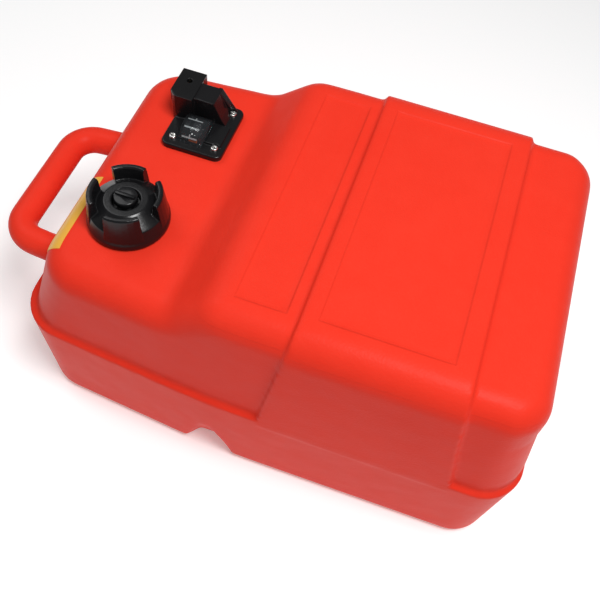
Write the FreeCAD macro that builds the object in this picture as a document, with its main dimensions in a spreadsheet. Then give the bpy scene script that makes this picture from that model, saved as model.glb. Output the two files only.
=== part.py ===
import FreeCAD
import Part
import Sketcher
import math
import os

# Portable outboard fuel tank. Millimetres, +Z up, the base stands on z = 0 at its middle.
# +X runs from the handle end to the far end, +Y to the side away from the filler.

doc = FreeCAD.newDocument("fuel_tank")
sheet = doc.addObject("Spreadsheet::Sheet", "sizes")

SIZES = [
    ("half_length", 238.0, "half of the moulded body's length at the ledge"),
    ("half_width", 152.5, "half of the body's width at the ledge"),
    ("nose_half", 134.0, "half width at the handle end, where the sides draw in"),
    ("bend_place", -40.0, "X where the sides start to draw in"),
    ("side_round", 900.0, "gentle bend of the sides in plan"),
    ("ledge_height", 121.0, "height of the ledge round the body"),
    ("ledge_inset", 4.5, "how far the upper half stands in from the ledge"),
    ("foot_lean", 6.0, "how far the lower walls draw in down to the base"),
    ("side_lean", 3.5, "how far the upper walls draw in up to the roof"),
    ("nose_lean", 34.0, "how far the handle end slopes back"),
    ("low_top", 221.0, "height of the plateau with filler and gauge"),
    ("high_top", 252.0, "height of the main roof"),
    ("band_top", 257.0, "height of the raised band"),
    ("ramp_foot", -82.0, "X of the ramp's foot"),
    ("ramp_head", -44.0, "X of the ramp's head"),
    ("wall", 4.0, "wall thickness of the moulding"),
    ("corner_round", 40.0, "far corners in plan"),
    ("nose_round", 46.0, "handle end corners in plan"),
    ("base_round", 12.0, "edge round the base"),
    ("roof_round", 23.0, "edge round the roof"),
    ("valley_round", 26.0, "foot of the ramp"),
    ("crest_round", 34.0, "head of the ramp"),
    ("band_left", 25.0, "X of the band's left edge on the roof"),
    ("band_right", 159.0, "X of the band's right edge on the roof"),
    ("band_flare", 20.0, "how far each band edge spreads down to the ledge"),
    ("panel_depth", 1.2, "depth of the two roof panels"),
    ("panel_round", 8.0, "panel corners"),
    ("panel_reach", 117.0, "half of the panels' length across the tank"),
    ("long_panel_left", -29.0, "left edge of the narrow panel on the roof"),
    ("long_panel_right", 13.0, "right edge of the narrow panel"),
    ("broad_panel_left", 38.0, "left edge of the panel on the band"),
    ("broad_panel_right", 143.0, "right edge of the panel on the band"),
    ("notch_height", 62.0, "height of the side notches for a tie down strap"),
    ("notch_depth", 20.0, "depth of the side notches at the base"),
    ("notch_place", -46.0, "X of the side notches"),
    ("handle_bar", 26.5, "handle bar across"),
    ("handle_height", 152.0, "height of the handle's middle"),
    ("handle_reach", 29.0, "from the body's end to the handle bar's middle line"),
    ("handle_span", 66.0, "half of the handle between its arms' middle lines"),
    ("handle_bend", 24.0, "bend of the handle's middle line"),
    ("filler_x", -146.0, "X of the filler"),
    ("filler_y", -58.5, "Y of the filler"),
    ("neck_radius", 27.0, "filler neck, outside"),
    ("neck_bore", 22.0, "filler neck, inside"),
    ("neck_height", 14.0, "neck above the plateau"),
    ("thread_pitch", 6.0, "filler thread pitch"),
    ("thread_depth", 1.7, "filler thread ridge"),
    ("thread_turns", 1.25, "turns of each ridge"),
    ("cap_radius", 35.1, "cap skirt at its foot"),
    ("cap_clear", 1.5, "from the plateau to the cap's foot"),
    ("cap_rise", 33.5, "cap height to the top of its grips"),
    ("cap_bore", 29.6, "inside of the cap's skirt"),
    ("seal_thick", 2.0, "cap gasket"),
    ("grip_turn", 18.8, "angle of the first grip from +X"),
    ("grip_angle", 56.0, "width of one grip"),
    ("knob_radius", 9.8, "vent knob"),
    ("vent_stem", 5.0, "vent knob's stem"),
    ("running_gap", 0.3, "clearance between moving pieces"),
    ("gauge_x", -127.5, "X of the gauge flange"),
    ("gauge_y", 60.0, "Y of the gauge flange"),
    ("flange_x", 29.0, "half of the flange along X"),
    ("flange_y", 33.0, "half of the flange along Y"),
    ("flange_thick", 4.0, "gauge flange"),
    ("gasket_thick", 2.0, "gauge gasket"),
    ("opening_radius", 24.0, "opening for the sender in the plateau"),
    ("screw_x", 20.0, "half of the screw spacing along X"),
    ("screw_y", 23.0, "half of the screw spacing along Y"),
    ("screw_radius", 1.75, "gauge screw's shank"),
    ("insert_radius", 2.6, "threaded insert, outside"),
    ("insert_depth", 8.0, "threaded insert, length"),
    ("lens_radius", 16.2, "lens arch, outside"),
    ("lens_wall", 1.6, "lens thickness"),
    ("lens_half", 11.0, "half of the lens along X"),
    ("drum_radius", 12.6, "level drum"),
    ("drum_half", 3.5, "half of the drum's width"),
    ("barrel_radius", 11.5, "hose socket housing"),
    ("barrel_x", -150.0, "X of the hose socket"),
    ("barrel_height", 13.5, "socket axis above the flange"),
    ("socket_radius", 5.0, "hose socket bore"),
    ("arm_reach", 165.6, "float from the pivot across the tank when full"),
    ("arm_drop", 28.0, "float below the pivot when full"),
    ("arm_wire", 2.5, "float arm wire"),
    ("gauge_swing", 72.0, "float arm's swing from full to empty"),
    ("float_radius", 12.0, "float"),
    ("float_half", 20.0, "half of the float's length"),
    ("pickup_radius", 3.5, "pickup tube, outside"),
    ("label_length", 88.0, "plain label, across the tank"),
    ("label_width", 24.0, "plain label, up the slope"),
    ("label_height", 181.0, "height of the label's middle"),
    ("label_y", -38.0, "Y of the label's middle"),
]
for row, (alias, amount, note) in enumerate(SIZES, start=1):
    sheet.set("A%d" % row, note)
    sheet.set("B%d" % row, str(amount))
    sheet.setAlias("B%d" % row, alias)
doc.recompute()


def size(alias):
    return float(sheet.get(alias))


def value(expression):
    found = sheet.evalExpression(expression)
    return float(getattr(found, "Value", found))


def vec(x, y, z):
    return FreeCAD.Vector(x, y, z)


X_AXIS = vec(1, 0, 0)
Y_AXIS = vec(0, 1, 0)
Z_AXIS = vec(0, 0, 1)


# Helpers for parametric bodies

def origin_plane(body, role):
    return [item for item in body.Origin.OriginFeatures if item.Role == role][0]


def bound_sketch(body, name, role, corners, height=None):
    """Closed outline of straight lines whose corners are bound to expressions."""
    sketch = body.newObject("Sketcher::SketchObject", name)
    sketch.AttachmentSupport = (origin_plane(body, role), [""])
    sketch.MapMode = "FlatFace"
    if height:
        sketch.setExpression("AttachmentOffset.Base.z", height)
    places = [vec(value(a), value(b), 0) for a, b in corners]
    count = len(places)
    for i in range(count):
        sketch.addGeometry(Part.LineSegment(places[i], places[(i + 1) % count]), False)
    for i in range(count):
        sketch.addConstraint(Sketcher.Constraint("Coincident", i, 2, (i + 1) % count, 1))
    for i, pair in enumerate(corners):
        for kind, axis, expression, at in (("DistanceX", -2, pair[0], places[i].x),
                                           ("DistanceY", -1, pair[1], places[i].y)):
            if expression == "0":
                sketch.addConstraint(Sketcher.Constraint("PointOnObject", i, 1, axis))
                continue
            index = sketch.addConstraint(Sketcher.Constraint(kind, -1, 1, i, 1, at))
            sketch.setExpression("Constraints[%d]" % index, expression)
    return sketch


def turned_body(label, corners, place):
    """A revolved piece: its half section in (radius, height), its axis at place."""
    body = doc.addObject("PartDesign::Body", label)
    sketch = bound_sketch(body, label + "_section", "XZ_Plane", corners)
    turn = body.newObject("PartDesign::Revolution", label + "_turn")
    turn.Profile = sketch
    turn.ReferenceAxis = (sketch, ["V_Axis"])
    turn.Angle = 360.0
    body.Tip = turn
    for letter, expression in zip("xyz", place):
        body.setExpression("Placement.Base." + letter, expression)
    doc.recompute()
    return body


def cylinder(name, radius, height, place, axis=Z_AXIS, angle=None):
    item = doc.addObject("Part::Cylinder", name)
    item.setExpression("Radius", radius)
    item.setExpression("Height", height)
    item.Placement.Rotation = FreeCAD.Rotation(Z_AXIS, axis)
    for letter, expression in zip("xyz", place):
        item.setExpression("Placement.Base." + letter, expression)
    return item


def block(name, low, high):
    item = doc.addObject("Part::Box", name)
    for side, letter, a, b in zip(("Length", "Width", "Height"), "xyz", low, high):
        item.setExpression(side, "(%s) - (%s)" % (b, a))
        item.setExpression("Placement.Base." + letter, a)
    return item


def fuse(name, items):
    item = doc.addObject("Part::MultiFuse", name)
    item.Shapes = items
    return item


def cut(name, base, tools):
    item = doc.addObject("Part::Cut", name)
    item.Base = base
    item.Tool = tools[0] if len(tools) == 1 else fuse(name + "_tools", tools)
    return item


def feature(name, shape):
    item = doc.addObject("Part::Feature", name)
    item.Shape = shape
    return item


# Moulded forms of the tank. The same functions make the outside (skin 0) and the room inside
# (skin = the wall), so the wall stays even when a size changes.

def plan(inset, nose_shift=0.0):
    """Corners of the six sided outline with their radii, drawn in on every side by one inset."""
    slope = math.atan((size("half_width") - size("nose_half")) / (size("half_length") + size("bend_place")))
    end = -size("half_length") + inset + nose_shift
    side = size("half_width") - inset
    bend = size("bend_place") + inset * math.tan(slope / 2)
    nose = side - (bend - end) * math.tan(slope)
    far = size("half_length") - inset
    nose_round = size("nose_round") - inset
    side_round = size("side_round")
    far_round = size("corner_round") - inset
    return [(end, -nose, nose_round), (bend, -side, side_round), (far, -side, far_round),
            (far, side, far_round), (bend, side, side_round), (end, nose, nose_round)]


def rounded_ring(corners, height):
    """Closed wire through rounded corners."""
    edges = []
    joints = []
    count = len(corners)
    for i in range(count):
        before, here, after = (vec(*corners[(i + k) % count][:2], height) for k in (-1, 0, 1))
        radius = corners[i][2]
        into = (here - before).normalize()
        out = (after - here).normalize()
        half = into.getAngle(out) / 2
        run = radius * math.tan(half)
        peak = here + (out - into).normalize() * (radius / math.cos(half) - radius)
        joints.append((here - into * run, peak, here + out * run))
    for i in range(count):
        edges.append(Part.Arc(*joints[i]).toShape())
        edges.append(Part.LineSegment(joints[i][2], joints[(i + 1) % count][0]).toShape())
    return Part.Wire(edges)


def drafted(low, low_height, high, high_height):
    rings = [rounded_ring(low, low_height), rounded_ring(high, high_height)]
    return Part.makeLoft(rings, True, True)


def lower_form(skin):
    ledge = size("ledge_height")
    slope = size("foot_lean") / ledge
    low = skin
    high = ledge - skin
    shape = drafted(plan(skin + slope * (ledge - low)), low, plan(skin + slope * (ledge - high)), high)
    ring = [e for e in shape.Edges if e.BoundBox.ZMax < low + 0.01]
    return shape.makeFillet(size("base_round") - skin / 2, ring)


def roof_prism(low, high, reach):
    """Everything above the plateau and the ramp."""
    corners = [(-reach, low), (size("ramp_foot"), low), (size("ramp_head"), high),
               (size("ramp_head"), high + 20), (-reach, high + 20)]
    face = Part.Face(Part.makePolygon([vec(x, -reach, z) for x, z in corners + corners[:1]]))
    return face.extrude(vec(0, 2 * reach, 0))


def upper_form(skin):
    bottom = size("ledge_height") - 10
    low = size("low_top") - skin
    high = size("high_top") - skin
    inset = size("ledge_inset") + skin
    rise = (high - bottom) / (size("low_top") - bottom)
    shape = drafted(plan(inset), bottom, plan(inset + size("side_lean"), size("nose_lean") * rise), high)
    shape = shape.cut(roof_prism(low, high, 400)).Solids[0]
    for place, height, radius in ((size("ramp_foot"), low, size("valley_round") + skin),
                                  (size("ramp_head"), high, size("crest_round") - skin)):
        picked = [e for e in shape.Edges if e.BoundBox.YLength > 150
                  and abs(e.CenterOfMass.x - place) < 0.5 and abs(e.CenterOfMass.z - height) < 0.01]
        shape = shape.makeFillet(radius, picked)
    roof = [f for f in shape.Faces if f.BoundBox.ZMin > low - 1
            and f.normalAt(sum(f.ParameterRange[:2]) / 2, sum(f.ParameterRange[2:]) / 2).z > 0.3]
    ring = []
    for edge in shape.Edges:
        sides = [f for f in roof if any(e.isSame(edge) for e in f.Edges)]
        if len(sides) == 1:
            ring.append(edge)
    return shape.makeFillet(size("roof_round") - skin, ring)


def band_form(skin):
    """Raised band across the body, flush with the lower walls."""
    bottom = size("ledge_height") - 10
    top = size("band_top") - skin
    side = size("half_width") - skin
    lean = size("side_lean")
    section = [(-side, bottom), (side, bottom), (side - lean, top), (lean - side, top)]
    reach = 300
    face = Part.Face(Part.makePolygon([vec(-reach, y, z) for y, z in section + section[:1]]))
    bar = face.extrude(vec(2 * reach, 0, 0))
    rims = [e for e in bar.Edges if e.BoundBox.XLength > reach and e.CenterOfMass.z > top - 1]
    bar = bar.makeFillet(size("roof_round") + size("ledge_inset") - skin, rims)
    left = size("band_left") + skin
    right = size("band_right") - skin
    flare = size("band_flare")
    ledge = size("ledge_height")
    outline = [(left, top + 5), (left - flare, ledge), (left - flare, bottom), (right + flare, bottom),
               (right + flare, ledge), (right, top + 5)]
    face = Part.Face(Part.makePolygon([vec(x, -reach, z) for x, z in outline + outline[:1]]))
    return bar.common(face.extrude(vec(0, 2 * reach, 0)))


def flat_sided(under, over):
    """Solid of flat faces between two rings of corners with parallel sides."""
    faces = [Part.Face(Part.makePolygon(ring + [ring[0]])) for ring in (under, over)]
    for i in range(len(under)):
        j = (i + 1) % len(under)
        for ring in ([under[i], under[j], over[j]], [under[i], over[j], over[i]]):
            faces.append(Part.Face(Part.makePolygon(ring + [ring[0]])))
    shell = Part.makeShell(faces)
    shell.sewShape()
    solid = Part.makeSolid(shell)
    if solid.Volume < 0:
        solid.reverse()
    return solid


def notch_form(skin):
    """Scallops in both sides at the base, widest and deepest at the floor."""
    middle = size("notch_place")
    side = size("half_width")
    depth = size("notch_depth")
    high = size("notch_height")
    rings = []
    for height, half, inner in ((-5.0, 33.0, side - size("foot_lean") - depth), (high, 10.0, side - 4)):
        inner = inner - skin
        half = half + skin
        ring = [(middle - half - 20, side + 20), (middle - half * 0.45, inner), (middle + half * 0.45, inner),
                (middle + half + 20, side + 20)]
        rings.append([vec(x, y, height) for x, y in ring])
    near = flat_sided(*rings)
    return near.fuse(near.mirror(vec(0, 0, 0), Y_AXIS))


def rounded_path(points, radius):
    """Straight runs joined by tangent arcs of one radius."""
    edges = []
    start = points[0]
    for before, corner, after in zip(points, points[1:], points[2:]):
        into = (corner - before).normalize()
        out = (after - corner).normalize()
        half = into.getAngle(out) / 2
        run = radius * math.tan(half)
        first = corner - into * run
        last = corner + out * run
        middle = (out - into).normalize()
        peak = corner + middle * (radius / math.cos(half) - radius)
        edges.append(Part.LineSegment(start, first).toShape())
        edges.append(Part.Arc(first, peak, last).toShape())
        start = last
    edges.append(Part.LineSegment(start, points[-1]).toShape())
    return Part.Wire(edges)


def round_bar(points, bend, radius):
    path = rounded_path(points, bend)
    along = (points[1] - points[0]).normalize()
    ring = Part.Wire([Part.Circle(points[0], along, radius).toShape()])
    return path.makePipeShell([ring], True, True)


def helical_ridge(radius, out, pitch, turns, start, half_foot, half_crest):
    """One thread ridge: a trapezium swept up a helix; out is +1 outward or -1 inward."""
    depth = size("thread_depth")
    helix = Part.makeHelix(pitch, pitch * turns, radius)
    foot = radius - out * 0.5
    crest = radius + out * depth
    section = [vec(foot, 0, -half_foot), vec(crest, 0, -half_crest),
               vec(crest, 0, half_crest), vec(foot, 0, half_foot)]
    wire = Part.makePolygon(section + [section[0]])
    ridge = Part.Wire(helix.Edges).makePipeShell([wire], True, True)
    ridge.translate(vec(0, 0, start))
    return ridge


def panel_form(left, right, top):
    """Cutter for a shallow roof panel with rounded corners."""
    reach = size("panel_reach")
    box = Part.makeBox(right - left, 2 * reach, 20, vec(left, -reach, top - size("panel_depth")))
    upright = [e for e in box.Edges if e.BoundBox.ZLength > 10]
    return box.makeFillet(size("panel_round"), upright)


filler_x = size("filler_x")
filler_y = size("filler_y")
plateau = size("low_top")
end_x = -size("half_length")

# Tank: one hollow moulding with its carrying handle and filler neck

outside = fuse("tank_outside", [feature("lower_outside", lower_form(0.0)),
                                feature("upper_outside", upper_form(0.0)),
                                feature("band_outside", band_form(0.0))])
room = fuse("tank_room", [feature("lower_room", lower_form(size("wall"))),
                          feature("upper_room", upper_form(size("wall"))),
                          feature("band_room", band_form(size("wall")))])
notched = cut("tank_notched", outside, [feature("notches", notch_form(0.0))])
notched_room = cut("room_notched", room, [feature("notches_inside", notch_form(size("wall")))])

bar_x = end_x - size("handle_reach")
span = size("handle_span")
root_x = end_x + 30
handle_points = [vec(root_x, -span - 5, size("handle_height")), vec(bar_x, -span, size("handle_height")),
                 vec(bar_x, span, size("handle_height")), vec(root_x, span + 5, size("handle_height"))]
handle = feature("handle_loop", round_bar(handle_points, size("handle_bend"), size("handle_bar") / 2))

neck = cylinder("neck_tube", "sizes.neck_radius", "sizes.neck_height + sizes.wall",
                ["sizes.filler_x", "sizes.filler_y", "sizes.low_top - sizes.wall"])
ridge_start = plateau + 4.0
neck_ridge = helical_ridge(size("neck_radius"), 1, size("thread_pitch"), size("thread_turns"),
                           ridge_start, 1.2, 0.6)
neck_ridge.translate(vec(filler_x, filler_y, 0))
ridge = feature("neck_thread", neck_ridge)

screw_places = [(size("gauge_x") + i * size("screw_x"), size("gauge_y") + j * size("screw_y"))
                for i in (-1, 1) for j in (-1, 1)]
bosses = []
pockets = []
for number, (x, y) in enumerate(screw_places):
    middle = ["sizes.gauge_x + %d * sizes.screw_x" % (-1 if x < size("gauge_x") else 1),
              "sizes.gauge_y + %d * sizes.screw_y" % (-1 if y < size("gauge_y") else 1)]
    bosses.append(cylinder("insert_boss_%d" % number, "sizes.insert_radius + 2", "sizes.insert_depth + 1",
                           middle + ["sizes.low_top - sizes.insert_depth - 3"]))
    pockets.append(cylinder("insert_pocket_%d" % number, "sizes.insert_radius", "sizes.insert_depth",
                            middle + ["sizes.low_top - sizes.insert_depth"]))
    pockets.append(cylinder("screw_relief_%d" % number, "sizes.screw_radius + 0.2",
                            "sizes.insert_depth + 2.5", middle + ["sizes.low_top - sizes.insert_depth - 2"]))

skin = fuse("tank_skin", [notched, handle, neck, ridge])
hollow = cut("tank_hollow", skin, [notched_room])
with_bosses = fuse("tank_with_bosses", [hollow] + bosses)
filler_hole = cylinder("filler_hole", "sizes.neck_bore", "sizes.neck_height + sizes.wall + 4",
                       ["sizes.filler_x", "sizes.filler_y", "sizes.low_top - sizes.wall - 2"])
sender_hole = cylinder("sender_hole", "sizes.opening_radius", "sizes.wall + 4",
                       ["sizes.gauge_x", "sizes.gauge_y - 3", "sizes.low_top - sizes.wall - 2"])
long_panel = feature("long_panel", panel_form(size("long_panel_left"), size("long_panel_right"), size("high_top")))
broad_panel = feature("broad_panel",
                      panel_form(size("broad_panel_left"), size("broad_panel_right"), size("band_top")))
tank = cut("tank_shell", with_bosses, [filler_hole, sender_hole, long_panel, broad_panel] + pockets)

# Filler cap: a threaded skirt, a sloping shoulder, a well for the vent knob and four grips

cap_place = ["sizes.filler_x", "sizes.filler_y", "sizes.low_top + sizes.cap_clear"]
ceiling = "(sizes.neck_height - sizes.cap_clear + sizes.seal_thick)"
cap_core = turned_body("cap_core", [
    ("sizes.vent_stem + sizes.running_gap", ceiling), ("sizes.cap_bore", ceiling), ("sizes.cap_bore", "0"),
    ("sizes.cap_radius - 0.4", "0"), ("sizes.cap_radius", "1.5"), ("sizes.cap_radius - 0.3", ceiling + " - 1"),
    ("sizes.cap_radius - 1.8", ceiling + " + 1.5"), ("sizes.knob_radius + 9.5", "sizes.cap_rise - 9.2"),
    ("sizes.knob_radius + 8.3", "sizes.cap_rise - 8.4"), ("sizes.knob_radius + 2.6", "sizes.cap_rise - 8.4"),
    ("sizes.knob_radius + 2", "sizes.cap_rise - 9"), ("sizes.knob_radius + 2", ceiling + " + 3"),
    ("sizes.vent_stem + sizes.running_gap", ceiling + " + 3")], cap_place)


def grip_shape():
    """Four wide grips that rise from the skirt to one height, leaning in a little."""
    outer = size("cap_radius")
    top = size("cap_rise")
    section = [vec(outer - 0.35, 0, 6.0), vec(outer - 4.2, 0, top - 1.2), vec(outer - 5.2, 0, top),
               vec(outer - 8.2, 0, top), vec(outer - 9.4, 0, top - 1.4), vec(outer - 10.5, 0, top - 14.5),
               vec(outer - 4.0, 0, 8.0)]
    face = Part.Face(Part.makePolygon(section + [section[0]]))
    grips = []
    for quarter in range(4):
        grip = face.revolve(vec(0, 0, 0), Z_AXIS, size("grip_angle"))
        grip.rotate(vec(0, 0, 0), Z_AXIS, size("grip_turn") - size("grip_angle") / 2 + 90 * quarter)
        grip.translate(vec(filler_x, filler_y, plateau + size("cap_clear")))
        grips.append(grip)
    return grips


inner_ridge = helical_ridge(size("cap_bore"), -1, size("thread_pitch"), size("thread_turns") - 0.25,
                            ridge_start + size("thread_pitch") / 2, 1.2, 0.6)
inner_ridge.translate(vec(filler_x, filler_y, 0))
cap = feature("filler_cap", cap_core.Shape.fuse([inner_ridge] + grip_shape()))

gasket = turned_body("cap_gasket", [
    ("sizes.neck_bore - 0.5", "0"), ("sizes.neck_radius + 0.3", "0"),
    ("sizes.neck_radius + 0.3", "sizes.seal_thick - 0.1"), ("sizes.neck_bore - 0.5", "sizes.seal_thick - 0.1")],
    ["sizes.filler_x", "sizes.filler_y", "sizes.low_top + sizes.neck_height"])

# Vent knob with its captive stem, and the ring that it closes on

knob_foot = "(" + ceiling + " + 3 + sizes.seal_thick)"
knob = turned_body("knob_core", [
    ("0", ceiling + " - 3.9"), ("sizes.vent_stem + 1", ceiling + " - 3.9"),
    ("sizes.vent_stem + 0.6", ceiling + " - 3.2"), ("sizes.vent_stem", ceiling + " - 3.2"),
    ("sizes.vent_stem", knob_foot), ("sizes.knob_radius - 1.6", knob_foot),
    ("sizes.knob_radius - 1.6", knob_foot + " + 3.4"), ("sizes.knob_radius", knob_foot + " + 3.8"),
    ("sizes.knob_radius", "sizes.cap_rise - 5.4"), ("sizes.knob_radius - 0.7", "sizes.cap_rise - 4.8"),
    ("3.2", "sizes.cap_rise - 4.8"), ("2.6", "sizes.cap_rise - 5.6"), ("0", "sizes.cap_rise - 5.6")], cap_place)
knob_bar = block("knob_bar",
                 ["sizes.filler_x - sizes.knob_radius + 1.4", "sizes.filler_y - 1.5",
                  "sizes.low_top + sizes.cap_clear + sizes.cap_rise - 6"],
                 ["sizes.filler_x + sizes.knob_radius - 1.4", "sizes.filler_y + 1.5",
                  "sizes.low_top + sizes.cap_clear + sizes.cap_rise - 2.6"])
vent_knob = fuse("vent_knob", [knob, knob_bar])
vent_seal = turned_body("vent_seal", [
    ("sizes.vent_stem + 0.1", "0"), ("sizes.vent_stem + 2.6", "0"),
    ("sizes.vent_stem + 2.6", "sizes.seal_thick"), ("sizes.vent_stem + 0.1", "sizes.seal_thick")],
    ["sizes.filler_x", "sizes.filler_y",
     "sizes.low_top + sizes.neck_height + sizes.seal_thick + 3"])

# Gauge: flange, hood with the hose socket, lens, scale and the sender below

gx = size("gauge_x")
gy = size("gauge_y")
flange_low = plateau + size("gasket_thick")
flange_top = flange_low + size("flange_thick")
barrel_x = size("barrel_x")
barrel_z = flange_top + size("barrel_height")
pivot_y = gy - 10.0
pivot_z = flange_low + 1.0
lens_x = gx - 2.5
hood_face = gy + 6.5
barrel_face = gy + 1.5
barrel_end = gy + size("flange_y") + 5.0
hood_top = barrel_z + size("barrel_radius")
channel_x = barrel_x + 7.0
channel_y = gy + 8.0


def rounded_plate(half_x, half_y, low, high, radius):
    box = Part.makeBox(2 * half_x, 2 * half_y, high - low, vec(gx - half_x, gy - half_y, low))
    return box.makeFillet(radius, [e for e in box.Edges if e.BoundBox.ZLength > 0.9 * (high - low)
                                   and e.BoundBox.XLength < 0.1 and e.BoundBox.YLength < 0.1])


def upright_hole(x, y, radius, low, high):
    return Part.makeCylinder(radius, high - low, vec(x, y, low))


def side_prism(points, x_from, x_to):
    """Outline in (y, z) drawn along X."""
    ring = [vec(x_from, y, z) for y, z in points]
    return Part.Face(Part.makePolygon(ring + [ring[0]])).extrude(vec(x_to - x_from, 0, 0))


def front_prism(points, y_from, y_to):
    """Outline in (x, z) drawn along Y."""
    ring = [vec(x, y_from, z) for x, z in points]
    return Part.Face(Part.makePolygon(ring + [ring[0]])).extrude(vec(0, y_to - y_from, 0))


def arch(radius, x_from, x_to):
    return Part.makeCylinder(radius, x_to - x_from, vec(x_from, pivot_y, pivot_z), X_AXIS)


def gauge_body_shape():
    plate = rounded_plate(size("flange_x"), size("flange_y"), flange_low, flange_top, 7.0)
    rims = [e for e in plate.Edges if e.BoundBox.ZMin > flange_top - 0.01]
    plate = plate.makeChamfer(0.8, rims)
    length = barrel_end - barrel_face
    radius = size("barrel_radius")
    barrel = Part.makeCylinder(radius, length, vec(barrel_x, barrel_face, barrel_z), Y_AXIS)
    barrel = barrel.fuse(Part.makeBox(2 * radius, length, radius, vec(barrel_x - radius, barrel_face, barrel_z)))
    foot = front_prism([(barrel_x - radius + 1.5, barrel_z), (barrel_x + radius, barrel_z),
                        (barrel_x + radius, flange_top - 1), (barrel_x - 6.5, flange_top - 1)],
                       barrel_face + 1, gy + size("flange_y") - 1)
    hood = front_prism([(barrel_x + radius - 1, hood_top - 1.5), (gx + 8, hood_top - 2), (gx + 15, flange_top + 7),
                        (gx + 20, flange_top - 1), (barrel_x + radius - 1, flange_top - 1)], hood_face, gy + 28)
    gusset = front_prism([(gx + 5, hood_top - 2), (gx + 8, hood_top - 2), (gx + 24, flange_top - 1),
                          (gx + 5, flange_top - 1)], gy + 22, gy + 29)
    step = Part.makeBox(15, 25, 3.2, vec(gx + 9.5, gy - 20, flange_top - 1))
    block_shape = plate.fuse([barrel, foot, hood, gusset, step]).removeSplitter()
    window = Part.makeBox(2 * size("lens_half") - 2 * size("lens_wall"), 31.5, 20,
                          vec(lens_x - size("lens_half") + size("lens_wall"), pivot_y - 15.2, flange_low - 5))
    socket = Part.makeCylinder(size("socket_radius") + 1.4, 22, vec(barrel_x, barrel_end - 22, barrel_z), Y_AXIS)
    chamber = Part.makeCylinder(size("socket_radius") - 0.5, 13, vec(barrel_x, barrel_end - 34, barrel_z), Y_AXIS)
    latch = upright_hole(barrel_x, barrel_end - 13.5, 2.6, barrel_z, hood_top + 1)
    pipe = upright_hole(channel_x, channel_y, 2.0, flange_low - 1, barrel_z)
    cross = Part.makeCylinder(2.0, 7, vec(barrel_x, channel_y, barrel_z), X_AXIS)
    drop = upright_hole(channel_x, channel_y, 4.7, flange_low - 9, flange_low + 1)
    seat = upright_hole(channel_x, channel_y, size("pickup_radius"), flange_low - 10, flange_low)
    holes = [upright_hole(x, y, size("screw_radius") + 0.35, flange_low - 1, flange_top + 3)
             for x, y in screw_places]
    heads = [upright_hole(x, y, 4.1, flange_top, flange_top + 9) for x, y in screw_places]
    beside = size("lens_half") + 0.15
    lens_room = arch(size("lens_radius") + 0.15, lens_x - beside, lens_x + beside)
    lens_room = lens_room.common(Part.makeBox(80, 80, 40, vec(lens_x - 40, pivot_y - 40, flange_top)))
    return block_shape.fuse(drop).cut([lens_room, window, socket, chamber, latch, pipe, cross, seat] + holes + heads)


gauge_body = feature("gauge_body", gauge_body_shape())


def lens_shape():
    half = size("lens_half")
    wall = size("lens_wall")
    outer = arch(size("lens_radius"), lens_x - half, lens_x + half)
    inner = arch(size("lens_radius") - wall, lens_x - half + wall, lens_x + half - wall)
    above = Part.makeBox(80, 80, 40, vec(lens_x - 40, pivot_y - 40, flange_top))
    return outer.cut(inner).common(above)


gauge_lens = feature("gauge_lens", lens_shape())

cheek_left = lens_x - 3.8
cheek_right = lens_x + 6.8
cheek_thick = 1.5


def frame_shape():
    """Two cheeks that carry the pivot pin, joined by a bridge."""
    low = pivot_z - 11
    high = pivot_z + 7
    front = pivot_y - 14.8
    left = Part.makeBox(cheek_thick, 25, high - low, vec(cheek_left - cheek_thick, front, low))
    right = Part.makeBox(cheek_thick, 25, high - low, vec(cheek_right, front, low))
    bridge = Part.makeBox(cheek_right - cheek_left + 2 * cheek_thick, 1.7, high - low - 8,
                          vec(cheek_left - cheek_thick, front, low))
    bore = Part.makeCylinder(1.5, 40, vec(lens_x - 20, pivot_y, pivot_z), X_AXIS)
    ear_end = lens_x - size("lens_half") + size("lens_wall") + 0.1
    ear = Part.makeBox(cheek_left - ear_end, 14, 3, vec(ear_end, front, flange_top - 3))
    under = Part.makeBox(80, 80, 60, vec(lens_x - 40, pivot_y - 40, flange_top - 60.1))
    inside = arch(size("lens_radius") - size("lens_wall") - 0.3, lens_x - 40, lens_x + 40).fuse(under)
    return left.fuse([right, bridge, ear]).cut(bore).common(inside)


sender_frame = feature("sender_frame", frame_shape())
pivot_pin = feature("pivot_pin", Part.makeCylinder(1.45, cheek_right - cheek_left + 2 * cheek_thick,
                                                   vec(cheek_left - cheek_thick, pivot_y, pivot_z), X_AXIS))


def scale_shape():
    outer = arch(size("drum_radius"), lens_x - 9.2, cheek_left - cheek_thick - 0.05)
    inner = arch(size("drum_radius") - 1.6, lens_x - 9.4, cheek_left)
    above = Part.makeBox(80, 80, 40, vec(lens_x - 40, pivot_y - 40, flange_top + 0.05))
    web = Part.makeBox(1.2, 18, 5, vec(cheek_left - cheek_thick - 1.25, pivot_y - 9, flange_top + 0.05))
    return outer.cut(inner).fuse(web).common(above).common(arch(size("drum_radius"), lens_x - 30, lens_x + 30))


gauge_scale = feature("gauge_scale", scale_shape())

# Float arm and level drum turn together about the pivot pin; modelled with the tank empty

swing = size("gauge_swing")
drum_x = (cheek_left + cheek_right) / 2


def lowered(shape):
    """Turns a shape from the full position down to the empty one."""
    shape.rotate(vec(0, pivot_y, pivot_z), X_AXIS, swing)
    return shape


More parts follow.
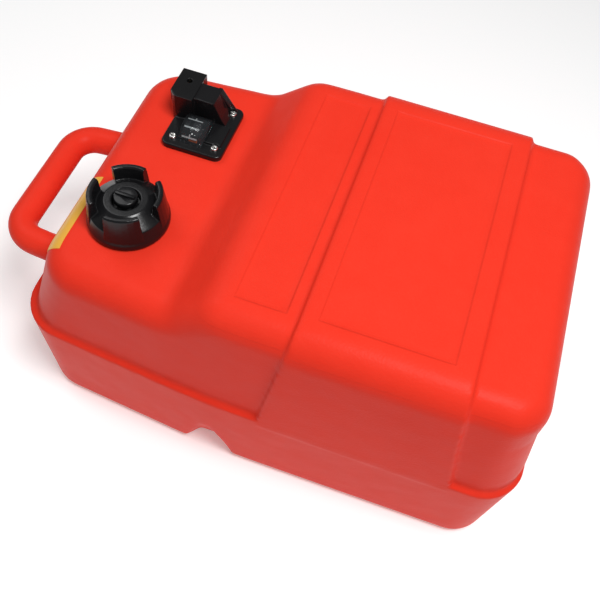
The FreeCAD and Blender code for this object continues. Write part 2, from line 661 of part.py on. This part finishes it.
def drum_shape():
    half = size("drum_half")
    drum = arch(size("drum_radius"), drum_x - half, drum_x + half)
    inner = arch(size("drum_radius") - 1.6, drum_x - half - 1, drum_x + half + 1)
    hub = arch(4.2, drum_x - half - 0.9, drum_x + half + 0.9)
    ring = drum.cut(inner)
    spokes = [Part.makeBox(2 * half - 2, 2 * size("drum_radius") - 2, 2.4,
                           vec(drum_x - half + 1, pivot_y - size("drum_radius") + 1, pivot_z - 1.2))]
    spokes.append(Part.makeBox(2 * half - 2, 5, size("drum_radius") - 1,
                               vec(drum_x - half + 1, pivot_y - 4.5, pivot_z - size("drum_radius") + 0.5)))
    bore = arch(1.45 + 0.12, drum_x - 20, drum_x + 20)
    wire = round_bar(arm_points(), 6.0, size("arm_wire") / 2)
    return lowered(ring.fuse([hub] + spokes).cut([bore, wire]))


def arm_points():
    """Wire from the drum down into the tank, then across to the float."""
    tip = vec(drum_x, pivot_y - size("arm_reach"), pivot_z - size("arm_drop"))
    knee = vec(drum_x, pivot_y - 4, pivot_z - 21)
    along = (tip - knee).normalize()
    return [vec(drum_x, pivot_y - 2.2, pivot_z - 6), knee, tip + along * 3]


def float_place():
    return vec(drum_x, pivot_y - size("arm_reach"), pivot_z - size("arm_drop"))


def float_shape():
    half = size("float_half")
    radius = size("float_radius")
    body = Part.makeCylinder(radius, 2 * half, float_place() - X_AXIS * half, X_AXIS)
    body = body.makeFillet(2.5, [e for e in body.Edges if e.Curve.TypeId == "Part::GeomCircle"])
    points = arm_points()
    along = (points[-1] - points[-2]).normalize()
    bore = Part.makeCylinder(size("arm_wire") / 2 + 0.05, 3 * radius, float_place() - along * radius * 1.5, along)
    blind = Part.makeBox(60, 60, 60)
    blind.Placement = FreeCAD.Placement(float_place() + along * 3.05, FreeCAD.Rotation(Z_AXIS, along)).multiply(
        FreeCAD.Placement(vec(-30, -30, 0), FreeCAD.Rotation()))
    return body.cut(bore.cut(blind))


def clip_shape():
    points = arm_points()
    along = (points[-1] - points[-2]).normalize()
    start = float_place() - along * (size("float_radius") + 1.6)
    ring = Part.makeCylinder(3.6, 1.5, start, along)
    return ring.cut(Part.makeCylinder(size("arm_wire") / 2, 4, start - along, along))


level_drum = feature("level_drum", drum_shape())
float_arm = feature("float_arm", lowered(round_bar(arm_points(), 6.0, size("arm_wire") / 2)))
float_body = feature("float_body", lowered(float_shape()))
float_clip = feature("float_clip", lowered(clip_shape()))


def gasket_shape():
    plate = rounded_plate(size("flange_x") - 0.8, size("flange_y") - 0.8, plateau, flange_low, 6.2)
    holes = [upright_hole(x, y, size("screw_radius") + 0.35, plateau - 1, flange_low + 1)
             for x, y in screw_places]
    return plate.cut([upright_hole(gx, gy - 3, size("opening_radius"), plateau - 1, flange_low + 1)] + holes)


gauge_gasket = feature("gauge_gasket", gasket_shape())


def screw_shape(x, y):
    head = Part.makeCylinder(3.4, 2.5, vec(x, y, flange_top))
    head = head.makeFillet(1.2, [e for e in head.Edges if e.BoundBox.ZMin > flange_top + 2.4])
    slots = [Part.makeBox(4.2, 0.9, 2, vec(x - 2.1, y - 0.45, flange_top + 1.2)),
             Part.makeBox(0.9, 4.2, 2, vec(x - 0.45, y - 2.1, flange_top + 1.2))]
    shank = Part.makeCylinder(size("screw_radius"), flange_top - plateau + 8.5, vec(x, y, plateau - 8.5))
    return head.cut(slots).fuse(shank)


def insert_shape(x, y):
    depth = size("insert_depth")
    sleeve = Part.makeCylinder(size("insert_radius"), depth, vec(x, y, plateau - depth))
    return sleeve.cut(Part.makeCylinder(size("screw_radius") + 0.05, depth + 2, vec(x, y, plateau - depth - 1)))


gauge_screws = feature("gauge_screws", Part.makeCompound([screw_shape(x, y) for x, y in screw_places]))
screw_inserts = feature("screw_inserts", Part.makeCompound([insert_shape(x, y) for x, y in screw_places]))

# Fuel way: strainer, pickup tube, outlet valve and hose socket

tube_foot = size("wall") + 6.0


def pickup_shape():
    tube = upright_hole(channel_x, channel_y, size("pickup_radius"), tube_foot, flange_low - 0.2)
    return tube.cut(upright_hole(channel_x, channel_y, size("pickup_radius") - 1, tube_foot - 1, flange_low + 1))


def strainer_shape():
    cup = Part.makeCylinder(7.0, 24, vec(channel_x, channel_y, size("wall") + 1.5))
    room_in = Part.makeCylinder(5.8, 21.6, vec(channel_x, channel_y, size("wall") + 2.7))
    neck_hole = Part.makeCylinder(size("pickup_radius"), 30, vec(channel_x, channel_y, tube_foot))
    slots = []
    for turn in range(8):
        slot = Part.makeBox(9, 2.0, 14, vec(channel_x + 3, channel_y - 1.0, size("wall") + 5.5))
        slot.rotate(vec(channel_x, channel_y, 0), Z_AXIS, 45 * turn)
        slots.append(slot)
    return cup.cut([room_in, neck_hole] + slots)


pickup_tube = feature("pickup_tube", pickup_shape())
pickup_strainer = feature("pickup_strainer", strainer_shape())


def along_socket(radius, start, length):
    """Round bar on the socket's axis; start counts from the open end inwards."""
    return Part.makeCylinder(radius, length, vec(barrel_x, barrel_end - start, barrel_z), Y_AXIS)


def sleeve_shape():
    sleeve = along_socket(size("socket_radius") + 1.4, 21, 20.6)
    sleeve = sleeve.cut(along_socket(size("socket_radius"), 22, 24))
    return sleeve.cut(upright_hole(barrel_x, barrel_end - 13.5, 2.6, barrel_z, hood_top))


def valve_shape():
    head = along_socket(size("socket_radius") - 0.9, 24.4, 2.3)
    stem = along_socket(1.3, 22.5, 1.4)
    guide = along_socket(1.3, 27.0, 4.0)
    return head.fuse([stem, guide])


def spring_shape():
    coil = Part.makeHelix(1.7, 8.6, 2.9)
    start = Part.Wire([Part.Circle(vec(2.9, 0, 0), Y_AXIS, 0.35).toShape()])
    spring = Part.Wire(coil.Edges).makePipeShell([start], True, True)
    spring.Placement = FreeCAD.Placement(vec(barrel_x, barrel_end - 33.4, barrel_z),
                                         FreeCAD.Rotation(Z_AXIS, Y_AXIS))
    return spring


outlet_sleeve = feature("outlet_sleeve", sleeve_shape())
outlet_seal = feature("outlet_seal", along_socket(size("socket_radius") + 1.35, 22, 1.0).cut(
    along_socket(2.8, 23, 3.0)))
outlet_valve = feature("outlet_valve", valve_shape())
outlet_spring = feature("outlet_spring", spring_shape())

# Plain label on the sloping handle end

slope_foot = size("ledge_height") - 10
slope_rate = size("nose_lean") / (plateau - slope_foot) + size("side_lean") / (size("high_top") - slope_foot)
slope_turn = math.degrees(math.atan(slope_rate))
label_x = end_x + size("ledge_inset") + (size("label_height") - slope_foot) * slope_rate
plain = Part.makeBox(0.4, size("label_length"), size("label_width"),
                     vec(-0.4, -size("label_length") / 2, -size("label_width") / 2))
label = feature("blank_label", plain)
label.Placement = FreeCAD.Placement(vec(label_x, size("label_y"), size("label_height")),
                                    FreeCAD.Rotation(Y_AXIS, slope_turn))

NODES = [tank, cap, gasket, vent_knob, vent_seal, gauge_body, gauge_lens, sender_frame, pivot_pin, gauge_scale,
         level_drum, float_arm, float_body, float_clip, gauge_gasket, gauge_screws, screw_inserts, pickup_tube,
         pickup_strainer, outlet_sleeve, outlet_seal, outlet_valve, outlet_spring, label]

doc.recompute()
for item in doc.Objects:
    if "Invalid" in item.State or "Error" in item.State:
        raise RuntimeError("%s failed: %s" % (item.Label, item.State))
for item in NODES:
    if item.Shape.isNull() or not item.Shape.isValid():
        raise RuntimeError(item.Label + " has no valid shape")
os.makedirs("parts", exist_ok=True)
for item in NODES:
    item.Shape.exportStep("parts/%s.step" % item.Label)
    box = item.Shape.BoundBox
    print(item.Label, len(item.Shape.Solids), round(item.Shape.Volume, 1),
          [round(v, 1) for v in (box.XMin, box.YMin, box.ZMin, box.XMax, box.YMax, box.ZMax)])
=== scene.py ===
import bpy
import math
from mathutils import Matrix, Vector


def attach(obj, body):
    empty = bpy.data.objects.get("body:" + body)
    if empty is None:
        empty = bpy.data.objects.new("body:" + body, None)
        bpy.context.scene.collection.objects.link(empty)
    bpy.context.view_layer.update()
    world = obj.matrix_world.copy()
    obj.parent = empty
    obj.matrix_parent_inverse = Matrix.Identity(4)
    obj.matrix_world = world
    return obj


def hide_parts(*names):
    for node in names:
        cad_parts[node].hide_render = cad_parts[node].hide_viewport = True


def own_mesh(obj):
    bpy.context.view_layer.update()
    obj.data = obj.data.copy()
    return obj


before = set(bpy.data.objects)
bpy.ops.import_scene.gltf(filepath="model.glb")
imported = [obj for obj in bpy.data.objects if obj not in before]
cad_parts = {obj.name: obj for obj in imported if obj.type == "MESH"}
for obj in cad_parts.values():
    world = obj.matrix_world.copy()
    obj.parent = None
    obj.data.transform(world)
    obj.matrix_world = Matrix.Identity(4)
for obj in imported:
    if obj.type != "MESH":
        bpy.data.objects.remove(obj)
bpy.ops.object.select_all(action="DESELECT")
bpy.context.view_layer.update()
mm = 0.001


# Values in shader trees, written as ordinary arithmetic

def fill(tree, node, sockets):
    for key, item in sockets.items():
        if isinstance(item, Field):
            tree.links.new(item.socket, node.inputs[key])
        else:
            node.inputs[key].default_value = item


class Field:
    def __init__(self, tree, socket):
        self.tree = tree
        self.socket = socket

    @staticmethod
    def add(tree, kind, settings, sockets, outlet=0):
        node = tree.nodes.new(kind)
        for key, setting in settings.items():
            setattr(node, key, setting)
        fill(tree, node, sockets)
        return Field(tree, node.outputs[outlet])

    def step(self, operation, other, swapped=False):
        pair = (other, self) if swapped else (self, other)
        return Field.add(self.tree, "ShaderNodeMath", {"operation": operation}, dict(enumerate(pair)))

    def __add__(self, other):
        return self.step("ADD", other)

    def __radd__(self, other):
        return self.step("ADD", other, True)

    def __sub__(self, other):
        return self.step("SUBTRACT", other)

    def __rsub__(self, other):
        return self.step("SUBTRACT", other, True)

    def __mul__(self, other):
        return self.step("MULTIPLY", other)

    def __rmul__(self, other):
        return self.step("MULTIPLY", other, True)

    def above(self, other):
        return self.step("MAXIMUM", other)

    def below(self, other):
        return self.step("MINIMUM", other)


def newTree(name):
    material = bpy.data.materials.new(name)
    material.use_nodes = True
    tree = material.node_tree
    return material, tree, tree.nodes["Principled BSDF"]


def spot(tree):
    return Field.add(tree, "ShaderNodeTexCoord", {}, {}, "Object")


def noise(tree, scale, detail=2.0):
    return Field.add(tree, "ShaderNodeTexNoise", {},
                     {"Vector": spot(tree), "Scale": scale, "Detail": detail, "Roughness": 0.5}, "Fac")


def cells(tree, scale):
    return Field.add(tree, "ShaderNodeTexVoronoi", {"feature": "SMOOTH_F1"},
                     {"Vector": spot(tree), "Scale": scale}, "Distance")


def axes(tree):
    across = Field.add(tree, "ShaderNodeSeparateXYZ", {}, {0: spot(tree)})
    return [Field(tree, outlet) for outlet in across.socket.node.outputs]


def blend(tree, share, first, second):
    return Field.add(tree, "ShaderNodeMix", {"data_type": "RGBA"},
                     {0: share, 6: (*first, 1), 7: (*second, 1)}, 2)


def relief(tree, height, distance):
    return Field.add(tree, "ShaderNodeBump", {}, {"Strength": 1.0, "Distance": distance, "Height": height})


def moulded(name, dark, light, rough, grain, depth, shine=0.5):
    material, tree, shader = newTree(name)
    fill(tree, shader, {
        "Base Color": blend(tree, noise(tree, 9.0, 3.0), dark, light),
        "Roughness": noise(tree, 55.0, 3.0) * 0.10 + (rough - 0.05),
        "Specular IOR Level": shine,
        "Normal": relief(tree, noise(tree, grain) + cells(tree, grain * 0.55) * 0.6, depth),
    })
    return material


def metal(name, colour, rough, grain):
    material, tree, shader = newTree(name)
    fill(tree, shader, {"Base Color": (*colour, 1), "Metallic": 1.0,
                        "Roughness": noise(tree, grain) * 0.16 + (rough - 0.08)})
    return material


def clearPlastic(name):
    material, tree, shader = newTree(name)
    fill(tree, shader, {"Base Color": (0.05, 0.055, 0.06, 1), "Roughness": 0.04})
    through = Field.add(tree, "ShaderNodeBsdfTransparent", {}, {"Color": (0.93, 0.95, 0.96, 1)})
    gloss = Field(tree, shader.outputs[0])
    surface = Field.add(tree, "ShaderNodeMixShader", {}, {0: 0.24, 1: through, 2: gloss})
    fill(tree, tree.nodes["Material Output"], {"Surface": surface})
    return material


# Red moulding: pebbled grain over a slow swell, and two shallow panels on the roof

tankFinish = {
    "dark": (0.74, 0.030, 0.014), "light": (0.82, 0.046, 0.024), "shine": 0.05, "depth": 0.00022,
    "panels": ((-29.0 * mm, 13.0 * mm), (38.0 * mm, 143.0 * mm)), "panelReach": 117.0 * mm,
    "panelEdge": 1.4 * mm, "panelStep": 2.6, "panelsAbove": 240.0 * mm,
}


def roofPanel(tree, left, right, finish):
    across, along, up = axes(tree)
    besideX = (across - (left + right) / 2).step("ABSOLUTE", 0.0) - (right - left) / 2
    besideY = along.step("ABSOLUTE", 0.0) - finish["panelReach"]
    edge = (besideX.above(besideY) * (1 / finish["panelEdge"]) + 0.5).above(0.0).below(1.0)
    return edge * up.step("GREATER_THAN", finish["panelsAbove"])


def tankMaterial(finish):
    material, tree, shader = newTree("redMoulding")
    tone = noise(tree, 7.0, 3.0) * 0.7 + noise(tree, 60.0) * 0.3
    surface = noise(tree, 900.0) * 0.6 + cells(tree, 480.0) * 0.5 + noise(tree, 16.0) * 9.0
    for left, right in finish["panels"]:
        surface = surface + roofPanel(tree, left, right, finish) * finish["panelStep"]
    fill(tree, shader, {
        "Base Color": blend(tree, tone, finish["dark"], finish["light"]),
        "Roughness": noise(tree, 35.0, 3.0) * 0.12 + 0.31,
        "Specular IOR Level": finish["shine"],
        "Subsurface Weight": 0.04,
        "Subsurface Radius": (0.006, 0.001, 0.0006),
        "Normal": relief(tree, surface, finish["depth"]),
    })
    return material


def drumPlastic():
    material, tree, shader = newTree("drumPlastic")
    fill(tree, shader, {"Base Color": (0.02, 0.02, 0.022, 1), "Roughness": noise(tree, 300.0) * 0.1 + 0.45})
    return material


look = {
    "red": tankMaterial(tankFinish),
    "black": moulded("blackPlastic", (0.005, 0.005, 0.0055), (0.009, 0.009, 0.010), 0.24, 1100.0, 0.00003,
                     0.34),
    "rubber": moulded("sealRubber", (0.018, 0.018, 0.018), (0.03, 0.03, 0.03), 0.72, 900.0, 0.00004),
    "lens": clearPlastic("clearLens"),
    "drum": drumPlastic(),
    "orange": moulded("orangeMark", (0.86, 0.13, 0.01), (0.93, 0.18, 0.015), 0.40, 800.0, 0.00002),
    "white": moulded("whiteMark", (0.80, 0.80, 0.78), (0.88, 0.88, 0.86), 0.45, 800.0, 0.00002),
    "natural": moulded("naturalPlastic", (0.74, 0.72, 0.66), (0.82, 0.80, 0.75), 0.42, 700.0, 0.00004),
    "foam": moulded("floatFoam", (0.03, 0.03, 0.032), (0.055, 0.055, 0.06), 0.80, 1300.0, 0.0001),
    "steel": metal("stainless", (0.76, 0.75, 0.73), 0.22, 420.0),
    "brass": metal("brassParts", (0.78, 0.58, 0.27), 0.28, 420.0),
    "amber": moulded("amberLabel", (0.80, 0.40, 0.045), (0.86, 0.46, 0.06), 0.30, 300.0, 0.00001),
}
print("materials ready")


# Working steps shared by the pieces

def only(piece):
    bpy.ops.object.select_all(action="DESELECT")
    piece.select_set(True)
    bpy.context.view_layer.objects.active = piece


def paint(piece, material):
    piece.data.materials.clear()
    piece.data.materials.append(material)


def change(piece, kind, **settings):
    only(piece)
    modifier = piece.modifiers.new("step", kind)
    for key, amount in settings.items():
        setattr(modifier, key, amount)
    bpy.ops.object.modifier_apply(modifier=modifier.name)


def inEdit(piece, *steps):
    only(piece)
    bpy.ops.object.mode_set(mode="EDIT")
    bpy.ops.mesh.select_all(action="SELECT")
    for operator, settings in steps:
        operator(**settings)
    bpy.ops.object.mode_set(mode="OBJECT")


def mergedCopy(node, name):
    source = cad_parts[node]
    mesh = source.data.copy()
    piece = bpy.data.objects.new(name, mesh)
    bpy.context.scene.collection.objects.link(piece)
    inEdit(piece, (bpy.ops.mesh.remove_doubles, {"threshold": 0.002 * mm}),
           (bpy.ops.mesh.normals_make_consistent, {"inside": False}))
    return piece


def smooth(piece, degrees):
    only(piece)
    bpy.ops.object.shade_smooth_by_angle(angle=math.radians(degrees))


def settle(piece):
    only(piece)
    bpy.ops.object.transform_apply(location=True, rotation=True, scale=True)


def dress(piece, body, slotName, material, *nodes):
    paint(piece, material)
    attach(piece, body)
    if nodes:
        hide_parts(*nodes)


def softCopy(node, name, width, degrees=28):
    piece = mergedCopy(node, name)
    inEdit(piece, (bpy.ops.mesh.dissolve_limited, {"angle_limit": math.radians(0.6)}))
    change(piece, "BEVEL", width=width, segments=2, limit_method="ANGLE", angle_limit=math.radians(degrees),
           use_clamp_overlap=True, miter_outer="MITER_ARC", harden_normals=False)
    inEdit(piece, (bpy.ops.mesh.normals_make_consistent, {"inside": False}))
    smooth(piece, 40)
    return piece


def fused(piece, *others):
    only(piece)
    for other in others:
        other.select_set(True)
    bpy.ops.object.join()
    return piece


def melted(piece, voxel, relax, faces):
    change(piece, "REMESH", mode="VOXEL", voxel_size=voxel, adaptivity=0.0)
    change(piece, "SMOOTH", factor=0.5, iterations=relax)
    change(piece, "DECIMATE", ratio=min(1.0, faces / (2 * len(piece.data.polygons))))
    smooth(piece, 50)
    return piece


# Spin turns clockwise, so a piece of the ring runs back from its start angle

def turned(name, section, centre, angle, steps, start=0.0, solid=False):
    bpy.ops.mesh.primitive_circle_add(vertices=len(section), radius=1, location=(0, 0, 0))
    piece = bpy.context.object
    piece.name = name
    for vertex, (reach, height) in zip(piece.data.vertices, section):
        vertex.co = (centre[0] + reach * math.cos(start), centre[1] + reach * math.sin(start),
                     centre[2] + height)
    spin = {"steps": steps, "angle": angle, "center": centre, "axis": (0, 0, 1)}
    if solid:
        inEdit(piece, (bpy.ops.mesh.edge_face_add, {}), (bpy.ops.mesh.spin, spin))
    else:
        inEdit(piece, (bpy.ops.mesh.spin, spin))
    inEdit(piece, (bpy.ops.mesh.remove_doubles, {"threshold": 0.01 * mm}),
           (bpy.ops.mesh.normals_make_consistent, {"inside": False}))
    return piece


def slab(name, middle, sides, turn=(0, 0, 0)):
    bpy.ops.mesh.primitive_cube_add(size=1, location=middle)
    piece = bpy.context.object
    piece.name = name
    piece.scale = sides
    piece.rotation_euler = turn
    settle(piece)
    return piece


# Tank skin: the moulding with the softened edges that blow moulding gives

skinSizes = {"voxel": 2.0 * mm, "faces": 185000, "relax": 5, "leanFrom": (162.0 * mm, 142.0 * mm),
             "leanTo": (215.0 * mm, 205.0 * mm), "leanShift": -8.0 * mm}


def leanFarEnd(piece, low, high, shift):
    weights = piece.vertex_groups.new(name="farEnd")
    for vertex in piece.data.vertices:
        across = (vertex.co.x - low[0]) / (high[0] - low[0])
        upward = (vertex.co.z - low[1]) / (high[1] - low[1])
        share = min(max(across, 0.0), 1.0) * min(max(upward, 0.0), 1.0)
        if share > 0:
            weights.add([vertex.index], share, "REPLACE")
    change(piece, "DISPLACE", vertex_group="farEnd", direction="X", strength=shift, mid_level=0.0)


def makeTankSkin(sizes):
    skin = mergedCopy("tank_shell", "tankSkin")
    change(skin, "REMESH", mode="VOXEL", voxel_size=sizes["voxel"], adaptivity=0.0)
    leanFarEnd(skin, sizes["leanFrom"], sizes["leanTo"], sizes["leanShift"])
    change(skin, "SMOOTH", factor=0.5, iterations=sizes["relax"])
    change(skin, "DECIMATE", ratio=sizes["faces"] / (2 * len(skin.data.polygons)))
    smooth(skin, 60)
    return skin


tankSkin = makeTankSkin(skinSizes)
dress(tankSkin, "tank", "red_moulding", look["red"], "tank_shell")
print("tank skin ready")


# Plain label, wrapped over the shoulder at the handle end

labelSizes = {"middle": (-198.0 * mm, -66.0 * mm, 216.0 * mm), "across": 84.0 * mm, "along": 27.0 * mm,
              "tilt": 50.0, "lift": 0.25 * mm, "thick": 0.3 * mm}


def makeLabel(sizes):
    bpy.ops.mesh.primitive_plane_add(size=1, location=sizes["middle"])
    film = bpy.context.object
    film.name = "labelFilm"
    film.scale = (sizes["along"], sizes["across"], 1)
    film.rotation_euler = (0, math.radians(sizes["tilt"] - 90), 0)
    settle(film)
    inEdit(film, (bpy.ops.mesh.subdivide, {"number_cuts": 40}))
    change(film, "SHRINKWRAP", target=tankSkin, wrap_method="NEAREST_SURFACEPOINT", offset=sizes["lift"])
    change(film, "SMOOTH", factor=0.5, iterations=4)
    change(film, "SOLIDIFY", thickness=sizes["thick"], offset=0)
    smooth(film, 40)
    return film


dress(makeLabel(labelSizes), "tank", "amber_label", look["amber"], "blank_label")
print("label ready")


# Filler cap and vent knob

capSizes = {"centre": (-146.0 * mm, -58.5 * mm, 222.5 * mm), "grips": 4, "gripStart": -9.2, "gripAngle": 56.0,
            "facets": 6, "voxel": 0.5 * mm, "relax": 2, "faces": 60000}
# Sections of the cap and a grip: reach from the axis and height, in millimetres
capSection = [(5.3, 14.5), (29.6, 14.5), (29.6, 0.0), (34.5, 0.0), (35.0, 1.4), (34.9, 4.6), (33.9, 7.4),
              (31.3, 15.6), (19.6, 24.2), (18.1, 25.1), (12.4, 25.1), (11.8, 24.5), (11.8, 17.5), (5.3, 17.5)]
gripSection = [(34.6, 2.2), (31.0, 32.2), (30.0, 33.4), (27.1, 33.4), (25.9, 32.0), (24.9, 18.0),
               (30.4, 15.0), (30.8, 3.0)]


def inMetres(section):
    return [(reach * mm, height * mm) for reach, height in section]


def makeCap(sizes):
    cap = turned("capBody", inMetres(capSection), sizes["centre"], 2 * math.pi, 120)
    grips = []
    for number in range(sizes["grips"]):
        start = math.radians(sizes["gripStart"] + sizes["gripAngle"] + number * 360 / sizes["grips"])
        grips.append(turned("grip", inMetres(gripSection), sizes["centre"], math.radians(sizes["gripAngle"]),
                            sizes["facets"], start, True))
    return melted(fused(cap, *grips), sizes["voxel"], sizes["relax"], sizes["faces"])


dress(makeCap(capSizes), "cap", "black_plastic", look["black"], "filler_cap")
dress(softCopy("vent_knob", "ventKnob", 0.35 * mm), "vent", "black_plastic", look["black"], "vent_knob")
print("cap ready")


# Gauge block, lens with its marks, drum with its pointer

gaugeSizes = {
    "voxel": 0.5 * mm, "relax": 4, "faces": 70000, "pivotY": 50.0 * mm, "pivotZ": 224.0 * mm,
    "lobePlace": (-151.0 * mm, 71.6 * mm, 227.9 * mm), "lobeRadius": 10.4 * mm, "lobeDepth": 11.8 * mm,
    "barPlace": (-151.0 * mm, 72.0 * mm, 240.0 * mm), "barRadius": 10.6 * mm, "barDepth": 40.0 * mm,
    "cornerPlace": (-159.3 * mm, 63.7 * mm, 240.0 * mm), "cornerSides": (7.4 * mm, 7.4 * mm, 36.0 * mm),
    "markRadius": 14.45 * mm, "markThick": 0.12 * mm, "markEnds": (-138.8 * mm, -124.6 * mm),
    "markWide": 1.5 * mm, "markAngles": (29, 66, 103),
    "tickEnds": (-132.3 * mm, -131.1 * mm), "tickWide": 3.6 * mm, "tickAngles": (34, 108),
    "drumRadius": 12.75 * mm, "pointerEnds": (-132.6 * mm, -124.4 * mm), "pointerWide": 3.0 * mm,
    "pointerThick": 0.3 * mm, "pointerAngle": 20,
}


def overArch(name, radius, ends, wide, thick, lift):
    angle = math.radians(lift)
    middle = (sum(ends) / 2, gaugeSizes["pivotY"] - radius * math.cos(angle),
              gaugeSizes["pivotZ"] + radius * math.sin(angle))
    return slab(name, middle, (ends[1] - ends[0], wide, thick), (math.pi / 2 - angle, 0, 0))


def roundBar(radius, depth, place):
    bpy.ops.mesh.primitive_cylinder_add(vertices=64, radius=radius, depth=depth, location=place)
    bar = bpy.context.object
    settle(bar)
    return bar


def makeGaugeBlock(sizes):
    block = mergedCopy("gauge_body", "gaugeBlock")
    lobe = roundBar(sizes["lobeRadius"], sizes["lobeDepth"], sizes["lobePlace"])
    bar = roundBar(sizes["barRadius"], sizes["barDepth"], sizes["barPlace"])
    corner = slab("corner", sizes["cornerPlace"], sizes["cornerSides"])
    change(corner, "BOOLEAN", operation="DIFFERENCE", solver="EXACT", object=bar)
    change(block, "BOOLEAN", operation="DIFFERENCE", solver="EXACT", object=corner)
    for spent in (bar, corner):
        only(spent)
        bpy.ops.object.delete()
    return melted(fused(block, lobe), sizes["voxel"], sizes["relax"], sizes["faces"])


def makeMarks(name, sizes, kind):
    for number, lift in enumerate(sizes[kind + "Angles"]):
        mark = overArch("%s%d" % (name, number), sizes["markRadius"], sizes[kind + "Ends"],
                        sizes[kind + "Wide"], sizes["markThick"], lift)
        dress(mark, "tank", "scale_plastic", look["white"])


dress(makeGaugeBlock(gaugeSizes), "tank", "black_plastic", look["black"], "gauge_body")
lens = mergedCopy("gauge_lens", "gaugeLens")
smooth(lens, 35)
dress(lens, "tank", "clear_lens", look["lens"], "gauge_lens")
makeMarks("levelMark", gaugeSizes, "mark")
makeMarks("levelTick", gaugeSizes, "tick")
drum = softCopy("level_drum", "drumBody", 0.2 * mm)
dress(drum, "float", "indicator_orange", look["drum"], "level_drum")
pointer = overArch("drumPointer", gaugeSizes["drumRadius"], gaugeSizes["pointerEnds"],
                   gaugeSizes["pointerWide"], gaugeSizes["pointerThick"], gaugeSizes["pointerAngle"])
dress(pointer, "float", "indicator_orange", look["orange"])
dress(softCopy("gauge_screws", "gaugeScrews", 0.25 * mm), "tank", "stainless", look["steel"], "gauge_screws")
print("gauge ready")


# Pieces shown as built

shownAsBuilt = {
    "cap_gasket": "rubber", "vent_seal": "rubber", "gauge_gasket": "rubber", "outlet_seal": "rubber",
    "sender_frame": "black", "gauge_scale": "black", "pickup_tube": "black", "pickup_strainer": "natural",
    "pivot_pin": "steel", "float_arm": "steel", "float_clip": "steel",
    "float_body": "foam", "screw_inserts": "brass", "outlet_sleeve": "brass", "outlet_valve": "brass",
}
for node, key in shownAsBuilt.items():
    paint(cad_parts[node], look[key])
print("plain pieces ready")


# Outlet spring, shown as built with a mesh of its own; on the real tank its coils close up as the valve is
# pushed in


def makeSpring():
    coil = mergedCopy("outlet_spring", "outletSpring")
    smooth(coil, 60)
    dress(coil, "tank", "stainless", look["steel"], "outlet_spring")
    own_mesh(coil)


makeSpring()
print("spring ready")


# Studio: pale floor, soft light, camera at the photograph's angle

studio = {
    "floorSide": 60.0, "floorGlow": 0.25, "roomLight": 0.16, "lens": 46.73, "sensor": 36.0,
    "lamps": (("keyLight", (0.40, -0.30, 1.5), 0.50, 18.5), ("fillLight", (-0.9, 0.3, 1.4), 0.9, 5.5)),
    "cameraRows": ((0.94519, -0.30753, 0.10970, 0.0834), (0.31783, 0.78959, -0.52491, -0.4121),
                   (0.07481, 0.53101, 0.84406, 0.7505), (0, 0, 0, 1)),
}


def makeStudio(sizes):
    bpy.ops.mesh.primitive_plane_add(size=sizes["floorSide"], location=(0, 0, -0.2 * mm))
    floor = bpy.context.object
    floor.name = "studioFloor"
    material, tree, shader = newTree("paleFloor")
    fill(tree, shader, {"Base Color": (0.93, 0.93, 0.93, 1), "Roughness": 0.7,
                        "Emission Color": (1, 1, 1, 1), "Emission Strength": sizes["floorGlow"]})
    paint(floor, material)
    world = bpy.data.worlds.new("softRoom")
    world.use_nodes = True
    fill(world.node_tree, world.node_tree.nodes["Background"],
         {"Color": (1, 1, 1, 1), "Strength": sizes["roomLight"]})
    bpy.context.scene.world = world
    bpy.context.scene.view_settings.view_transform = "Standard"
    bpy.context.scene.view_settings.look = "None"
    for name, place, side, power in sizes["lamps"]:
        lamp = bpy.data.lights.new(name, "AREA")
        lamp.shape = "SQUARE"
        lamp.size = side
        lamp.energy = power
        holder = bpy.data.objects.new(name, lamp)
        holder.location = place
        aim = (Vector((0, 0, 0.12)) - Vector(place)).to_track_quat("-Z", "Y")
        holder.rotation_euler = aim.to_euler()
        bpy.context.scene.collection.objects.link(holder)
    camera = bpy.data.objects.new("photoCamera", bpy.data.cameras.new("photoCamera"))
    camera.data.lens = sizes["lens"]
    camera.data.sensor_width = sizes["sensor"]
    camera.data.clip_start = 0.01
    camera.data.clip_end = 100
    camera.matrix_world = Matrix(sizes["cameraRows"])
    bpy.context.scene.collection.objects.link(camera)
    bpy.context.scene.camera = camera


makeStudio(studio)
print("studio ready")
